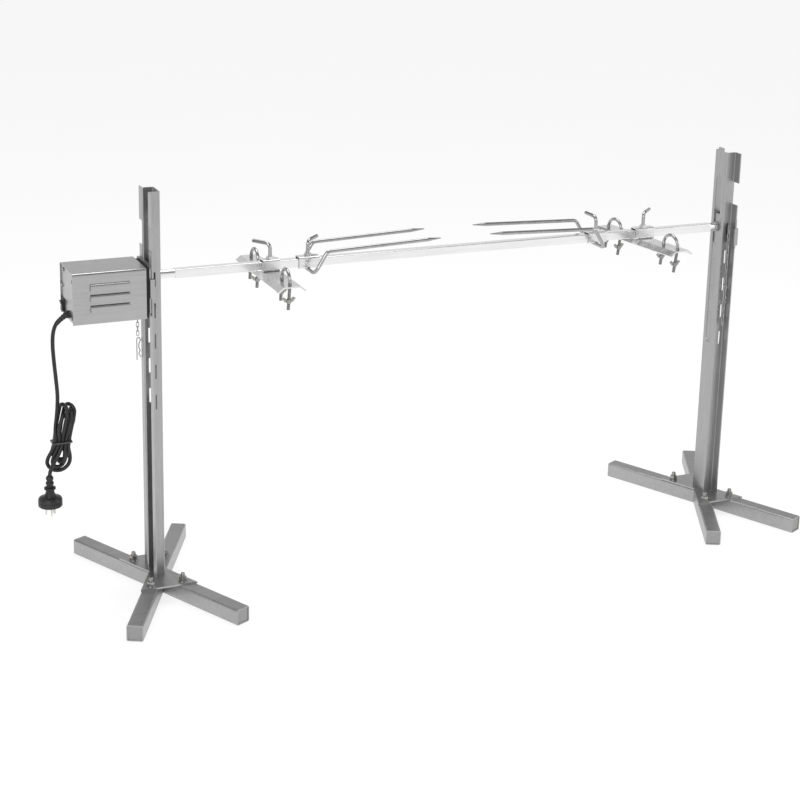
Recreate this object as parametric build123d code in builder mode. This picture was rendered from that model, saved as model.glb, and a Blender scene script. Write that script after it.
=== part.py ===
from build123d import *
import os
from math import atan, cos, pi, radians, sin, tan

os.makedirs("parts", exist_ok=True)

# Frame: X along the spit from the motor stand to the bearing stand, Y away from the cook, Z up.
# Origin: on the floor under the crossing of the motor stand's legs. Millimetres.

# overall sizes
stand_gap = 1180.0  # between the two leg crossings
spit_z = 600.0  # height of the spit's axis
post_top = spit_z + 155.0  # from the floor
leg_length = 450.0
leg_angle = 64.0  # each leg from the spit's line

# legs and base
leg_w = 30.0
leg_wall = 2.0
leg_corner = 3.5
cap_recess = 1.2
cap_t = 2.0
plate_t = 3.0
plate_half = 75.0  # along Y
foot_bolt_reach = 68.0  # from the crossing, along each leg
bolt_d = 8.0
bolt_gap = 0.2  # round a bolt, on the radius
nut_af = 13.0
nut_h = 6.5
washer_d = 17.0
washer_t = 1.6
stud_h = 8.0  # above the nut
bolt_head_d = 16.0
bolt_head_h = 4.0

# posts: a top-hat channel, its web facing the spit
sheet = 2.0
post_web_x = 8.0  # web's outer face from the crossing
post_w = 22.0  # along X
post_d = 42.0  # along Y
lip_w = 18.0
bend_out = 3.0
bend_in = 1.0
window_w = 20.0
window_low = spit_z - 245.0
window_high = spit_z + 107.0
lip_gap_low = spit_z + 50.0  # the carriage goes on through this gap
lip_gap_high = spit_z + 95.0
slot_w = 3.5
slot_len = 28.0
slot_pitch = 57.0
slot_count = 5
slot_x = -4.0
slot_drop = 3.0  # top slot's centre below the spit's axis

# carriages
slide_gap = 0.3
guide_gap = 0.5
guide_wall = 2.5
bracket_t = 3.0
bracket_front = 36.0  # -Y edge from the spit's plane
bracket_back = 49.0
bracket_low = 60.0  # below the spit's axis
bracket_high = 26.0
bracket_corner = 8.0
guide_low = 34.0
hook_low = 32.0
hook_high = 3.0
hook_t = 2.5
hook_grip = 8.0
bearing_low = 40.0
bearing_high = 26.0

# lock blades
blade_t = 2.9
blade_h = 24.0
blade_len = 8.5

# spit
spit_w = 16.0
spit_corner = 1.5
spit_wall = 1.5
journal_d = 14.0
journal_plug = 30.0
square_start = 38.0
square_end = stand_gap - 26.0
journal_end = stand_gap + 10.0
shoulder_d = 16.0
shoulder_gap = 1.0
tang_w = 9.8
tang_tip = -28.5
tang_start = -21.0
socket_d = 18.0
socket_mouth = 2.0
socket_back = -30.0
run_gap = 0.05  # running fit, on the radius
window_gap = 0.3
bush_front = stand_gap - 14.0
bush_back = stand_gap + 11.0

# motor box
gasket_t = 4.7
box_x0 = -153.5
box_front = 33.0
box_back = 60.0
box_low = 70.0  # below the spit's axis
box_high = 22.0
box_wall = 1.2
box_bend = 5.0
end_recess = 2.5
louvre_x0 = -122.0
louvre_x1 = -52.0
louvre_top = 2.0  # top hood's upper edge above the spit's axis
louvre_pitch = 19.3
louvre_count = 3
louvre_h = 13.0
louvre_out = 4.5
hood_wall = 1.0
screw_head_d = 7.0
screw_head_h = 2.2

# gear motor
gear_module = 0.7
gear_teeth = 48
pinion_teeth = 12
gear_width = 8.0
gear_x = -44.0
gear_line = -44.0  # degrees from +Y, from the output shaft to the motor shaft
gear_shaft_d = 10.0
gear_shaft_end = -49.0
case_end = -52.0
case_wall = 2.0
can_d = 44.0
can_len = 58.0
can_wall = 1.5
rotor_d = 30.0
rotor_len = 40.0
motor_shaft_d = 4.0

# switch and cord
switch_y = 47.0
switch_drop = 54.0
bezel_y = 19.0
bezel_z = 25.0
bezel_t = 2.0
rocker_y = 13.0
rocker_z = 17.0
rocker_out = 6.0
rocker_in = 6.0
rocker_tilt = 7.0
rocker_gap = 0.5
pivot_d = 2.5
pivot_len = 15.4
gland_y = 10.0
gland_drop = 61.0
gland_d = 14.0
gland_end = -158.0
cord_depth = 4.0  # cord's end inside the gland
cord_d = 7.0
plug_d = 43.0
plug_x = -195.0
plug_low = 187.0
relief_top = 244.0
relief_d = 10.4
pin_low = 170.0
hank_top = 376.0

# forks and clamps
collar_gap = 1.0  # round the spit, each side
collar_wall = 2.0
collar_up = 0.7  # its screw draws the collar up off the spit
fork_len = 40.0
left_clamp_len = 32.0
right_clamp_len = 42.0
left_clamp_x = 218.0
left_fork_x = 291.0
right_fork_x = stand_gap - 287.0
right_clamp_x = stand_gap - 180.0
prong_d = 7.0
prong_y = 38.0
prong_rise = 26.0  # above the spit's axis
prong_lead = 24.0  # from the crossbar to the start of the prong
prong_len = 226.0
prong_taper = 26.0
prong_bend = 12.0
prong_climb = 8.0  # tip above the start
flat_w = 33.0
flat_half = 120.0
flat_t = 2.5
flange_w = 10.0
flange_dip = 8.0
right_flat_turn = 9.0  # its plate is welded on askew
weld_boss_d = 15.0
weld_boss_h = 4.5
screw_rod_d = 7.0
screw_rise = 28.0  # the bend above the collar
screw_bend = 10.0
screw_handle = 36.0
screw_lift = 1.0
u_rod_d = 6.0
u_half = 20.5  # half the distance between the legs
u_leg = 48.0  # straight legs below the arch
u_y = 86.0
u_tilt = 9.0
u_gap = 1.0
u_seat = {"front": 3.5, "rear": -1.0}  # arch's spring line above the plate
wing_up = 17.0  # nut's centre above the leg's end
wing_hub_d = 10.0
wing_hub_h = 7.0
wing_span = 13.0
wing_t = 2.0

# retaining clips and chains
link_len = 11.0
link_w = 6.0
link_d = 1.4
link_pitch = 8.0
clip_len = 42.0
clip_d = 2.0
chains = {
    "left": (-20.5, 38.0, spit_z - 85.0, 5, 0),
    "right": (stand_gap + 3.0, -30.5, spit_z + 3.0, 15, 5),
}

crossing_half_w = leg_w / 2 / sin(radians(leg_angle))
base_z = leg_w + plate_t
xo = post_web_x - post_w  # open side's outer face
half_d = post_d / 2
slot_z = spit_z - slot_drop
box_x1 = xo - slide_gap - bracket_t - gasket_t
end_x = box_x0 + end_recess  # end plate's outer face
collar_out = spit_w / 2 + collar_gap + collar_wall
collar_z = spit_z + collar_up
sides = {"left": (0.0, 1.0), "right": (stand_gap, -1.0)}


def keep(piece, name, place=Location()):
    shape = place * piece.part
    shape.label = name
    export_step(shape, f"parts/{name}.step")


def leg_plane(x0, angle, along=0.0):
    way = (cos(radians(angle)), sin(radians(angle)), 0)
    start = (x0 + way[0] * along, way[1] * along, leg_w / 2)
    return Plane(origin=start, x_dir=(-way[1], way[0], 0), z_dir=way)


def foot_bolts(x0):
    return [
        (x0 + reach * cos(radians(angle)), reach * sin(radians(angle)))
        for angle in (leg_angle, -leg_angle)
        for reach in (foot_bolt_reach, -foot_bolt_reach)
    ]


# the two stands
for side, (x0, way) in sides.items():
    bore = leg_w - 2 * leg_wall
    bore_corner = leg_corner - leg_wall
    with BuildPart() as leg_long:
        with BuildSketch(leg_plane(x0, -leg_angle, -leg_length / 2)):
            RectangleRounded(leg_w, leg_w, leg_corner)
            RectangleRounded(bore, bore, bore_corner, mode=Mode.SUBTRACT)
        extrude(amount=leg_length)
        with BuildSketch(Plane.XY.offset(leg_w)):
            with Locations(*foot_bolts(x0)[2:]):
                Circle(bolt_d / 2 + bolt_gap)
        extrude(amount=-leg_wall * 2, mode=Mode.SUBTRACT)
    keep(leg_long, f"{side}_leg_long")

    with BuildPart() as leg_cross:
        with BuildSketch(leg_plane(x0, leg_angle, -leg_length / 2)):
            RectangleRounded(leg_w, leg_w, leg_corner)
            RectangleRounded(bore, bore, bore_corner, mode=Mode.SUBTRACT)
        extrude(amount=leg_length)
        with BuildSketch(leg_plane(x0, -leg_angle, -leg_length / 2)):
            Rectangle(leg_w, leg_w)
        extrude(amount=leg_length, mode=Mode.SUBTRACT)
        with BuildSketch(Plane.XY.offset(leg_w)):
            with Locations(*foot_bolts(x0)[:2]):
                Circle(bolt_d / 2 + bolt_gap)
        extrude(amount=-leg_wall * 2, mode=Mode.SUBTRACT)
    keep(leg_cross, f"{side}_leg_cross")

    with BuildPart() as caps:
        for angle in (leg_angle, -leg_angle):
            for end in (-1, 1):
                outer = leg_length / 2 - cap_recess
                with BuildSketch(leg_plane(x0, angle, end * outer)):
                    RectangleRounded(bore, bore, bore_corner)
                extrude(amount=-end * cap_t)
    keep(caps, f"{side}_leg_caps")

    with BuildPart() as base_plate:
        corner_x = crossing_half_w + plate_half / tan(radians(leg_angle))
        with BuildSketch(Plane.XY.offset(leg_w)):
            with BuildLine():
                Polyline(
                    (x0 + corner_x, -plate_half),
                    (x0 + crossing_half_w, 0),
                    (x0 + corner_x, plate_half),
                    (x0 - corner_x, plate_half),
                    (x0 - crossing_half_w, 0),
                    (x0 - corner_x, -plate_half),
                    close=True,
                )
            make_face()
            with Locations(*foot_bolts(x0)):
                Circle(bolt_d / 2 + bolt_gap, mode=Mode.SUBTRACT)
        extrude(amount=plate_t)
    keep(base_plate, f"{side}_base_plate")

    with BuildPart() as post:
        with BuildSketch(Plane.XY.offset(base_z)):
            with BuildLine():
                Polyline(
                    (x0 + way * xo, -half_d - lip_w),
                    (x0 + way * (xo + sheet), -half_d - lip_w),
                    (x0 + way * (xo + sheet), -half_d),
                    (x0 + way * post_web_x, -half_d),
                    (x0 + way * post_web_x, half_d),
                    (x0 + way * (xo + sheet), half_d),
                    (x0 + way * (xo + sheet), half_d + lip_w),
                    (x0 + way * xo, half_d + lip_w),
                    (x0 + way * xo, half_d - sheet),
                    (x0 + way * (post_web_x - sheet), half_d - sheet),
                    (x0 + way * (post_web_x - sheet), -half_d + sheet),
                    (x0 + way * xo, -half_d + sheet),
                    close=True,
                )
            make_face()
        extrude(amount=post_top - base_z)
        uprights = post.edges().filter_by(Axis.Z)
        outer_bends = uprights.filter_by(
            lambda e: abs(abs(e.center().Y) - half_d) < 0.01
            and abs(e.center().X - (x0 + way * post_web_x)) < 0.01
            or abs(abs(e.center().Y) - half_d + sheet) < 0.01
            and abs(e.center().X - (x0 + way * xo)) < 0.01
        )
        fillet(outer_bends, bend_out)
        inner_bends = post.edges().filter_by(Axis.Z).filter_by(
            lambda e: abs(abs(e.center().Y) - half_d) < 0.01
            and abs(e.center().X - (x0 + way * (xo + sheet))) < 0.01
            or abs(abs(e.center().Y) - half_d + sheet) < 0.01
            and abs(e.center().X - (x0 + way * (post_web_x - sheet))) < 0.01
        )
        fillet(inner_bends, bend_in)
        with BuildSketch(Plane.YZ.offset(x0 + way * (post_web_x - sheet / 2))):
            with Locations((0, (window_low + window_high) / 2)):
                SlotOverall(window_high - window_low, window_w, rotation=90)
        extrude(amount=sheet * 2, both=True, mode=Mode.SUBTRACT)
        with BuildSketch(Plane.XZ):
            with Locations(*[(x0 + way * slot_x, slot_z - n * slot_pitch) for n in range(slot_count)]):
                SlotOverall(slot_len, slot_w, rotation=90)
        extrude(amount=post_d, both=True, mode=Mode.SUBTRACT)
        with BuildSketch(Plane.YZ.offset(x0 + way * (xo + sheet / 2))):
            with Locations(*[(y, (lip_gap_low + lip_gap_high) / 2) for y in (-half_d - lip_w, half_d + lip_w)]):
                Rectangle(2 * lip_w, lip_gap_high - lip_gap_low)
        extrude(amount=sheet, both=True, mode=Mode.SUBTRACT)
    keep(post, f"{side}_post")

    with BuildPart() as studs:
        with Locations(*[(x, y, 0) for x, y in foot_bolts(x0)]):
            with Locations((0, 0, leg_w - leg_wall - bolt_head_h)):
                Cylinder(bolt_head_d / 2, bolt_head_h, align=(Align.CENTER, Align.CENTER, Align.MIN))
            with Locations((0, 0, leg_w - leg_wall)):
                Cylinder(
                    bolt_d / 2,
                    leg_wall + plate_t + washer_t + nut_h + stud_h,
                    align=(Align.CENTER, Align.CENTER, Align.MIN),
                )
        stud_tops = studs.edges().filter_by(GeomType.CIRCLE).group_by(Axis.Z)[-1]
        fillet(stud_tops, bolt_d * 0.3)
    keep(studs, f"{side}_foot_bolts")

    with BuildPart() as nuts:
        with BuildSketch(Plane.XY.offset(base_z)):
            with Locations(*foot_bolts(x0)):
                Circle(washer_d / 2)
                Circle(bolt_d / 2 + run_gap, mode=Mode.SUBTRACT)
        extrude(amount=washer_t)
        with BuildSketch(Plane.XY.offset(base_z + washer_t)):
            with Locations(*foot_bolts(x0)):
                RegularPolygon(nut_af / 2, 6, major_radius=False)
                Circle(bolt_d / 2 + run_gap, mode=Mode.SUBTRACT)
        extrude(amount=nut_h)
    keep(nuts, f"{side}_foot_nuts")


# the two carriages' shared shape: plate, guide in the channel and hooks round the lips
def carriage(x0, way, low, high, plate_back, shaft_d):
    plate_in = xo - slide_gap
    plate_out = plate_in - bracket_t
    edge = half_d + lip_w + slide_gap
    guide_in = post_web_x - sheet - guide_gap
    guide_half = half_d - sheet - guide_gap
    hook_in = xo + sheet + slide_gap
    with BuildPart() as piece:
        with BuildSketch(Plane.YZ.offset(x0 + way * plate_out)):
            with BuildLine():
                Polyline(
                    (-bracket_front, spit_z - low),
                    (plate_back, spit_z - low),
                    (plate_back, spit_z + high),
                    (-bracket_front, spit_z + high),
                    close=True,
                )
            make_face()
            with Locations((0, spit_z + (hook_high - hook_low) / 2)):
                Rectangle(2 * (edge + hook_t), hook_low + hook_high)
        extrude(amount=way * bracket_t)
        with BuildSketch(Plane.XY.offset(spit_z - guide_low)):
            with Locations((x0 + way * (plate_in + guide_in) / 2, 0)):
                Rectangle(guide_in - plate_in, 2 * guide_half)
                inner_x = guide_in - plate_in - 2 * guide_wall
                Rectangle(inner_x, 2 * (guide_half - guide_wall), mode=Mode.SUBTRACT)
        extrude(amount=guide_low + high)
        with BuildSketch(Plane.XY.offset(spit_z - hook_low)):
            for s in (-1, 1):
                with BuildLine():
                    Polyline(
                        (x0 + way * plate_out, s * edge),
                        (x0 + way * plate_out, s * (edge + hook_t)),
                        (x0 + way * (hook_in + hook_t), s * (edge + hook_t)),
                        (x0 + way * (hook_in + hook_t), s * (edge + hook_t - hook_grip)),
                        (x0 + way * hook_in, s * (edge + hook_t - hook_grip)),
                        (x0 + way * hook_in, s * edge),
                        close=True,
                    )
                make_face()
        extrude(amount=hook_low + hook_high)
        with BuildSketch(Plane.YZ.offset(x0 + way * (plate_out - 1))):
            with Locations((0, spit_z)):
                Circle(shaft_d / 2)
        extrude(amount=way * (post_w + bracket_t + 4), mode=Mode.SUBTRACT)
        with BuildSketch(Plane.XZ.offset(guide_half - guide_wall - 1)):
            with Locations((x0 + way * slot_x, slot_z)):
                Rectangle(blade_t + 2 * slide_gap, blade_h + 2 * slide_gap)
        extrude(amount=guide_wall + 2, mode=Mode.SUBTRACT)
        top_corners = piece.edges().filter_by(Axis.X).group_by(Axis.Z)[-1]
        fillet(top_corners.sort_by(Axis.Y)[-1], bracket_corner)
        fillet(top_corners.sort_by(Axis.Y)[0], bracket_corner)
    return piece


keep(carriage(0.0, 1.0, bracket_low, bracket_high, bracket_back, socket_d + 2), "motor_bracket")
bearing_hole = window_w - 2 * window_gap
keep(carriage(stand_gap, -1.0, bearing_low, bearing_high, bracket_front, bearing_hole), "bearing_bracket")

with BuildPart() as bearing_bush:
    with BuildSketch(Plane.YZ.offset(bush_front)):
        with Locations((0, spit_z)):
            Circle(window_w / 2 - window_gap)
            Circle(journal_d / 2 + run_gap, mode=Mode.SUBTRACT)
    extrude(amount=bush_back - bush_front)
    chamfer(bearing_bush.edges().filter_by(GeomType.CIRCLE).group_by(Axis.X)[0].sort_by(SortBy.RADIUS)[-1], 1)
keep(bearing_bush, "bearing_bush")

for side, (x0, way) in sides.items():
    with BuildPart() as blade:
        with BuildSketch(Plane.XZ.offset(half_d - sheet - guide_gap - blade_len)):
            with Locations((x0 + way * slot_x, slot_z)):
                Rectangle(blade_t, blade_h)
        extrude(amount=blade_len)
        chamfer(blade.faces().sort_by(Axis.Y)[0].edges(), 0.6)
    keep(blade, f"{side}_lock_blade")

# spit, drive socket and gears
with BuildPart() as spit_rod:
    with BuildSketch(Plane.YZ.offset(square_start)):
        with Locations((0, spit_z)):
            RectangleRounded(spit_w, spit_w, spit_corner)
            RectangleRounded(spit_w - 2 * spit_wall, spit_w - 2 * spit_wall, 0.5, mode=Mode.SUBTRACT)
    extrude(amount=square_end - square_start)
    plug_w = spit_w - 2 * spit_wall
    for x, way in ((square_start, 1), (square_end, -1)):
        with BuildSketch(Plane.YZ.offset(x)):
            with Locations((0, spit_z)):
                Rectangle(plug_w, plug_w)
        extrude(amount=way * journal_plug)
    with BuildSketch(Plane.YZ.offset(tang_start)):
        with Locations((0, spit_z)):
            Circle(journal_d / 2)
    extrude(amount=square_start - tang_start)
    with BuildSketch(Plane.YZ.offset(square_end)):
        with Locations((0, spit_z)):
            Circle(journal_d / 2)
    extrude(amount=journal_end - square_end)
    for x, end in ((square_start, socket_mouth + shoulder_gap), (square_end, bush_front - shoulder_gap)):
        with BuildSketch(Plane.YZ.offset(x)):
            with Locations((0, spit_z)):
                Circle(shoulder_d / 2)
        extrude(amount=end - x)
    with BuildSketch(Plane.YZ.offset(tang_tip)):
        with Locations((0, spit_z)):
            Rectangle(tang_w, tang_w)
    extrude(amount=tang_start - tang_tip)
    chamfer(spit_rod.faces().sort_by(Axis.X)[-1].edges(), 1)
keep(spit_rod, "spit_rod")

with BuildPart() as drive_socket:
    with BuildSketch(Plane.YZ.offset(socket_back)):
        with Locations((0, spit_z)):
            Circle(socket_d / 2)
    extrude(amount=socket_mouth - socket_back)
    with BuildSketch(Plane.YZ.offset(gear_shaft_end)):
        with Locations((0, spit_z)):
            Circle(gear_shaft_d / 2)
    extrude(amount=socket_back - gear_shaft_end)
    with BuildSketch(Plane.YZ.offset(tang_start)):
        with Locations((0, spit_z)):
            Circle(journal_d / 2 + run_gap)
    extrude(amount=socket_mouth - tang_start, mode=Mode.SUBTRACT)
    with BuildSketch(Plane.YZ.offset(tang_tip - run_gap)):
        with Locations((0, spit_z)):
            Rectangle(tang_w + 2 * run_gap, tang_w + 2 * run_gap)
    extrude(amount=tang_start - tang_tip + run_gap, mode=Mode.SUBTRACT)
keep(drive_socket, "drive_socket")

gear_reach = gear_module * (gear_teeth + pinion_teeth) / 2
motor_y = gear_reach * cos(radians(gear_line))
motor_z = spit_z + gear_reach * sin(radians(gear_line))


def gear(y, z, teeth, first, bore_r):
    # straight-sided teeth, slim enough to run with backlash at every phase
    pitch_r = gear_module * teeth / 2
    root_r = pitch_r - 1.25 * gear_module
    tip_r = pitch_r + 0.9 * gear_module
    root_half = 0.27 * pi * gear_module
    tip_half = 0.11 * pi * gear_module
    corners = []
    for n in range(teeth):
        middle = radians(first + n * 360 / teeth)
        for r, half in ((root_r, -root_half), (tip_r, -tip_half), (tip_r, tip_half), (root_r, root_half)):
            turn = middle + atan(half / r)
            corners.append((y + r * cos(turn), z + r * sin(turn)))
    with BuildPart() as wheel:
        with BuildSketch(Plane.YZ.offset(gear_x)):
            with BuildLine():
                Polyline(*corners, close=True)
            make_face()
            if bore_r:
                with Locations((y, z)):
                    Circle(bore_r, mode=Mode.SUBTRACT)
        extrude(amount=gear_width)
    return wheel


output_first = gear_line + 180 / gear_teeth
keep(gear(0, spit_z, gear_teeth, output_first, gear_shaft_d / 2 + run_gap), "output_gear")
pinion = gear(motor_y, motor_z, pinion_teeth, gear_line + 180, 0)
can_x = case_end - case_wall
rotor_x = can_x - can_len / 2

with BuildPart() as motor_rotor:
    add(pinion.part)
    with BuildSketch(Plane.YZ.offset(gear_x)):
        with Locations((motor_y, motor_z)):
            Circle(motor_shaft_d / 2)
    extrude(amount=rotor_x - gear_x)
    with BuildSketch(Plane.YZ.offset(rotor_x - rotor_len / 2)):
        with Locations((motor_y, motor_z)):
            Circle(rotor_d / 2)
    extrude(amount=rotor_len)
keep(motor_rotor, "motor_rotor")

# motor box, on the bracket
tray_x1 = box_x1
case_x1 = tray_x1 - box_wall
case_y0 = -gear_module * gear_teeth / 2 - 3.7
case_y1 = motor_y + can_d / 2
case_z0 = motor_z - can_d / 2
case_z1 = spit_z + box_high - box_wall - 0.5
case_y = (case_y0 + case_y1) / 2
case_z = (case_z0 + case_z1) / 2

with BuildPart() as bracket_gasket:
    with BuildSketch(Plane.YZ.offset(box_x1)):
        with Locations(((bracket_back - box_front) / 2, spit_z - (box_low - box_high) / 2)):
            Rectangle(bracket_back + box_front - 3, box_low + box_high - 4)
        with Locations((0, spit_z)):
            Circle(socket_d / 2 + 3, mode=Mode.SUBTRACT)
    extrude(amount=gasket_t)
keep(bracket_gasket, "bracket_gasket")

box_mid_y = (box_back - box_front) / 2
box_mid_z = spit_z - (box_low - box_high) / 2
tray_w = box_back + box_front - 2 * box_wall

with BuildPart() as motor_tray:
    with BuildSketch(Plane.XZ.offset(-box_back + box_wall)):
        with BuildLine():
            Polyline(
                (tray_x1, spit_z + box_high - box_wall),
                (tray_x1, spit_z - box_low),
                (end_x, spit_z - box_low),
                (end_x, spit_z + box_high - box_wall),
                (end_x + box_wall, spit_z + box_high - box_wall),
                (end_x + box_wall, spit_z - box_low + box_wall),
                (tray_x1 - box_wall, spit_z - box_low + box_wall),
                (tray_x1 - box_wall, spit_z + box_high - box_wall),
                close=True,
            )
        make_face()
    extrude(amount=tray_w)
    with BuildSketch(Plane.YZ.offset(tray_x1 - box_wall - 1)):
        with Locations((0, spit_z)):
            Circle(socket_d / 2 + 1)
    extrude(amount=box_wall + 2, mode=Mode.SUBTRACT)
    with BuildSketch(Plane.YZ.offset(end_x - 1)):
        with Locations((switch_y, spit_z - switch_drop)):
            Rectangle(bezel_y - 2, bezel_z - 2)
        with Locations((gland_y, spit_z - gland_drop)):
            Circle(gland_d / 2 - 1)
    extrude(amount=box_wall + 2, mode=Mode.SUBTRACT)
keep(motor_tray, "motor_tray")


with BuildPart() as motor_cover:
    with BuildSketch(Plane.YZ.offset(box_x0)):
        with Locations((box_mid_y, box_mid_z)):
            Rectangle(box_back + box_front, box_low + box_high)
    extrude(amount=box_x1 - box_x0)
    top_bends = motor_cover.edges().filter_by(Axis.X).group_by(Axis.Z)[-1]
    fillet(top_bends, box_bend)
    with BuildSketch(Plane.YZ.offset(box_x0 - 1)):
        with BuildLine():
            inner_front = -box_front + box_wall
            inner_back = box_back - box_wall
            inner_top = spit_z + box_high - box_wall
            Polyline(
                (inner_front, spit_z - box_low - 1),
                (inner_front, inner_top),
                (inner_back, inner_top),
                (inner_back, spit_z - box_low - 1),
                close=True,
            )
        make_face()
    extrude(amount=box_x1 - box_x0 + 2, mode=Mode.SUBTRACT)
    # pressed hoods, quarter-round in section and open below
    for n in range(louvre_count):
        top = spit_z + louvre_top - n * louvre_pitch
        for inset, mode in ((0.0, Mode.ADD), (hood_wall, Mode.SUBTRACT)):
            lip_y = -box_front - louvre_out + inset
            bend = louvre_out - inset
            low = top - louvre_h - inset
            with BuildSketch(Plane.YZ.offset(louvre_x0 + inset)):
                with BuildLine():
                    Line((-box_front, top - inset), (-box_front + box_wall + inset, top - inset))
                    Line((-box_front + box_wall + inset, top - inset), (-box_front + box_wall + inset, low))
                    Line((-box_front + box_wall + inset, low), (lip_y, low))
                    Line((lip_y, low), (lip_y, top - inset - bend))
                    RadiusArc((lip_y, top - inset - bend), (-box_front, top - inset), bend)
                make_face()
            extrude(amount=louvre_x1 - louvre_x0 - 2 * inset, mode=mode)
keep(motor_cover, "motor_cover")

end_screws = [(-24.0, 6.0), (40.0, 13.0), (52.0, -18.0), (-24.0, -60.0)]
back_screws = [(box_x0 + 7, 3.0), (box_x1 - 8, 3.0)]
bracket_screws = [(y, z) for y in (-26.0, 42.0) for z in (14.0, -52.0)]

with BuildPart() as housing_screws:
    with BuildSketch(Plane.YZ.offset(end_x)):
        with Locations(*[(y, spit_z + z) for y, z in end_screws]):
            Circle(screw_head_d / 2)
    extrude(amount=-screw_head_h)
    with BuildSketch(Plane.XZ.offset(-box_back)):
        with Locations(*[(x, spit_z + z) for x, z in back_screws]):
            Circle(screw_head_d / 2)
    extrude(amount=-screw_head_h)
    with BuildSketch(Plane.YZ.offset(case_x1)):
        with Locations(*[(y, spit_z + z) for y, z in bracket_screws]):
            Circle(screw_head_d / 2)
    extrude(amount=-screw_head_h)
keep(housing_screws, "housing_screws")

with BuildPart() as gearbox_case:
    with BuildSketch(Plane.YZ.offset(case_end)):
        with Locations((case_y, case_z)):
            Rectangle(case_y1 - case_y0, case_z1 - case_z0)
    extrude(amount=case_x1 - case_end)
    with BuildSketch(Plane.YZ.offset(case_end)):
        with Locations((case_y, case_z)):
            Rectangle(case_y1 - case_y0 - 2 * case_wall, case_z1 - case_z0 - 2 * case_wall)
    extrude(amount=case_x1 - case_end - case_wall * 3, mode=Mode.SUBTRACT)
    with BuildSketch(Plane.YZ.offset(case_end)):
        with Locations((0, spit_z)):
            Circle(socket_d / 2 + run_gap)
    extrude(amount=case_x1 - case_end + 1, mode=Mode.SUBTRACT)
keep(gearbox_case, "gearbox_case")

with BuildPart() as motor_can:
    can_x = case_end - case_wall
    with BuildSketch(Plane.YZ.offset(can_x)):
        with Locations((case_y, case_z)):
            Rectangle(case_y1 - case_y0, case_z1 - case_z0)
    extrude(amount=case_wall)
    with BuildSketch(Plane.YZ.offset(can_x)):
        with Locations((motor_y, motor_z)):
            Circle(can_d / 2)
    extrude(amount=-can_len)
    with BuildSketch(Plane.YZ.offset(can_x - can_wall)):
        with Locations((motor_y, motor_z)):
            Circle(can_d / 2 - can_wall)
    extrude(amount=-(can_len - 2 * can_wall), mode=Mode.SUBTRACT)
    with BuildSketch(Plane.YZ.offset(can_x - can_wall - 1)):
        with Locations((motor_y, motor_z)):
            Circle(motor_shaft_d / 2 + run_gap)
    extrude(amount=can_wall + case_wall + 2, mode=Mode.SUBTRACT)
keep(motor_can, "motor_can")

switch_z = spit_z - switch_drop
with BuildPart() as switch_bezel:
    with BuildSketch(Plane.YZ.offset(end_x)):
        with Locations((switch_y, switch_z)):
            RectangleRounded(bezel_y, bezel_z, 1.5)
    extrude(amount=-bezel_t)
    with BuildSketch(Plane.YZ.offset(end_x)):
        with Locations((switch_y, switch_z)):
            Rectangle(bezel_y - 2, bezel_z - 2)
    extrude(amount=14)
    with BuildSketch(Plane.YZ.offset(end_x - bezel_t)):
        with Locations((switch_y, switch_z)):
            Rectangle(rocker_y + 2 * rocker_gap, rocker_z + 4 * rocker_gap)
    extrude(amount=bezel_t + rocker_in + 4, mode=Mode.SUBTRACT)
    with BuildSketch(Plane.XZ.offset(-switch_y - pivot_len / 2 - rocker_gap)):
        with Locations((end_x, switch_z)):
            Circle(pivot_d / 2 + run_gap)
    extrude(amount=pivot_len + 2 * rocker_gap, mode=Mode.SUBTRACT)
keep(switch_bezel, "switch_bezel")

rocker_plane = Plane(
    origin=(end_x, switch_y, switch_z),
    x_dir=(cos(radians(rocker_tilt)), 0, sin(radians(rocker_tilt))),
    z_dir=(0, -1, 0),
)
with BuildPart() as switch_rocker:
    with BuildSketch(rocker_plane.offset(-rocker_y / 2)):
        with BuildLine():
            Polyline(
                (-rocker_out, rocker_z / 2),
                (-rocker_out + 1.6, 0),
                (-rocker_out, -rocker_z / 2),
                (0, -rocker_z / 2),
                (rocker_in, -rocker_z / 5),
                (rocker_in, rocker_z / 5),
                (0, rocker_z / 2),
                close=True,
            )
        make_face()
    extrude(amount=rocker_y)
    with BuildSketch(rocker_plane.offset(-pivot_len / 2)):
        Circle(pivot_d / 2)
    extrude(amount=pivot_len)
keep(switch_rocker, "switch_rocker")

gland_z = spit_z - gland_drop
cord_route = [
    (gland_end + cord_depth, gland_y, gland_z),
    (-162.0, 10.0, 535.3),
    (-170.5, 10.2, 528.5),
    (-176.8, 10.6, 518.0),
    (-180.2, 11.1, 504.0),
    (-181.0, 11.6, 484.0),
    (-179.4, 12.1, 456.0),
    (-176.9, 12.4, 426.0),
    (-174.6, 12.2, 400.0),
    (-173.4, 12.0, hank_top),
]
cord_way = Vector(*cord_route[1]) - Vector(*cord_route[0])
with BuildPart() as cord_gland:
    with BuildSketch(Plane.YZ.offset(end_x)):
        with Locations((gland_y, gland_z)):
            Circle(gland_d / 2)
    extrude(amount=-3)
    with BuildSketch(Plane.YZ.offset(end_x + box_wall + 3)):
        with Locations((gland_y, gland_z)):
            Circle(gland_d / 2 - 1)
    extrude(amount=gland_end - end_x - box_wall - 3)
    chamfer(cord_gland.edges().filter_by(GeomType.CIRCLE).group_by(Axis.X)[0], 1)
    with BuildSketch(Plane(origin=cord_route[0], z_dir=cord_way)):
        Circle(cord_d / 2 + run_gap)
    extrude(amount=4 * cord_depth, mode=Mode.SUBTRACT)
keep(cord_gland, "cord_gland")

# the cord's hanging stretch: straight runs joined by tangent arcs
def route_radii(points):
    radii = []
    for before, here, after in zip(points, points[1:], points[2:]):
        a = Vector(*here) - Vector(*before)
        b = Vector(*after) - Vector(*here)
        turn = radians(a.get_angle(b))
        radii.append(0.45 * min(a.length, b.length) / tan(turn / 2))
    return radii


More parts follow.
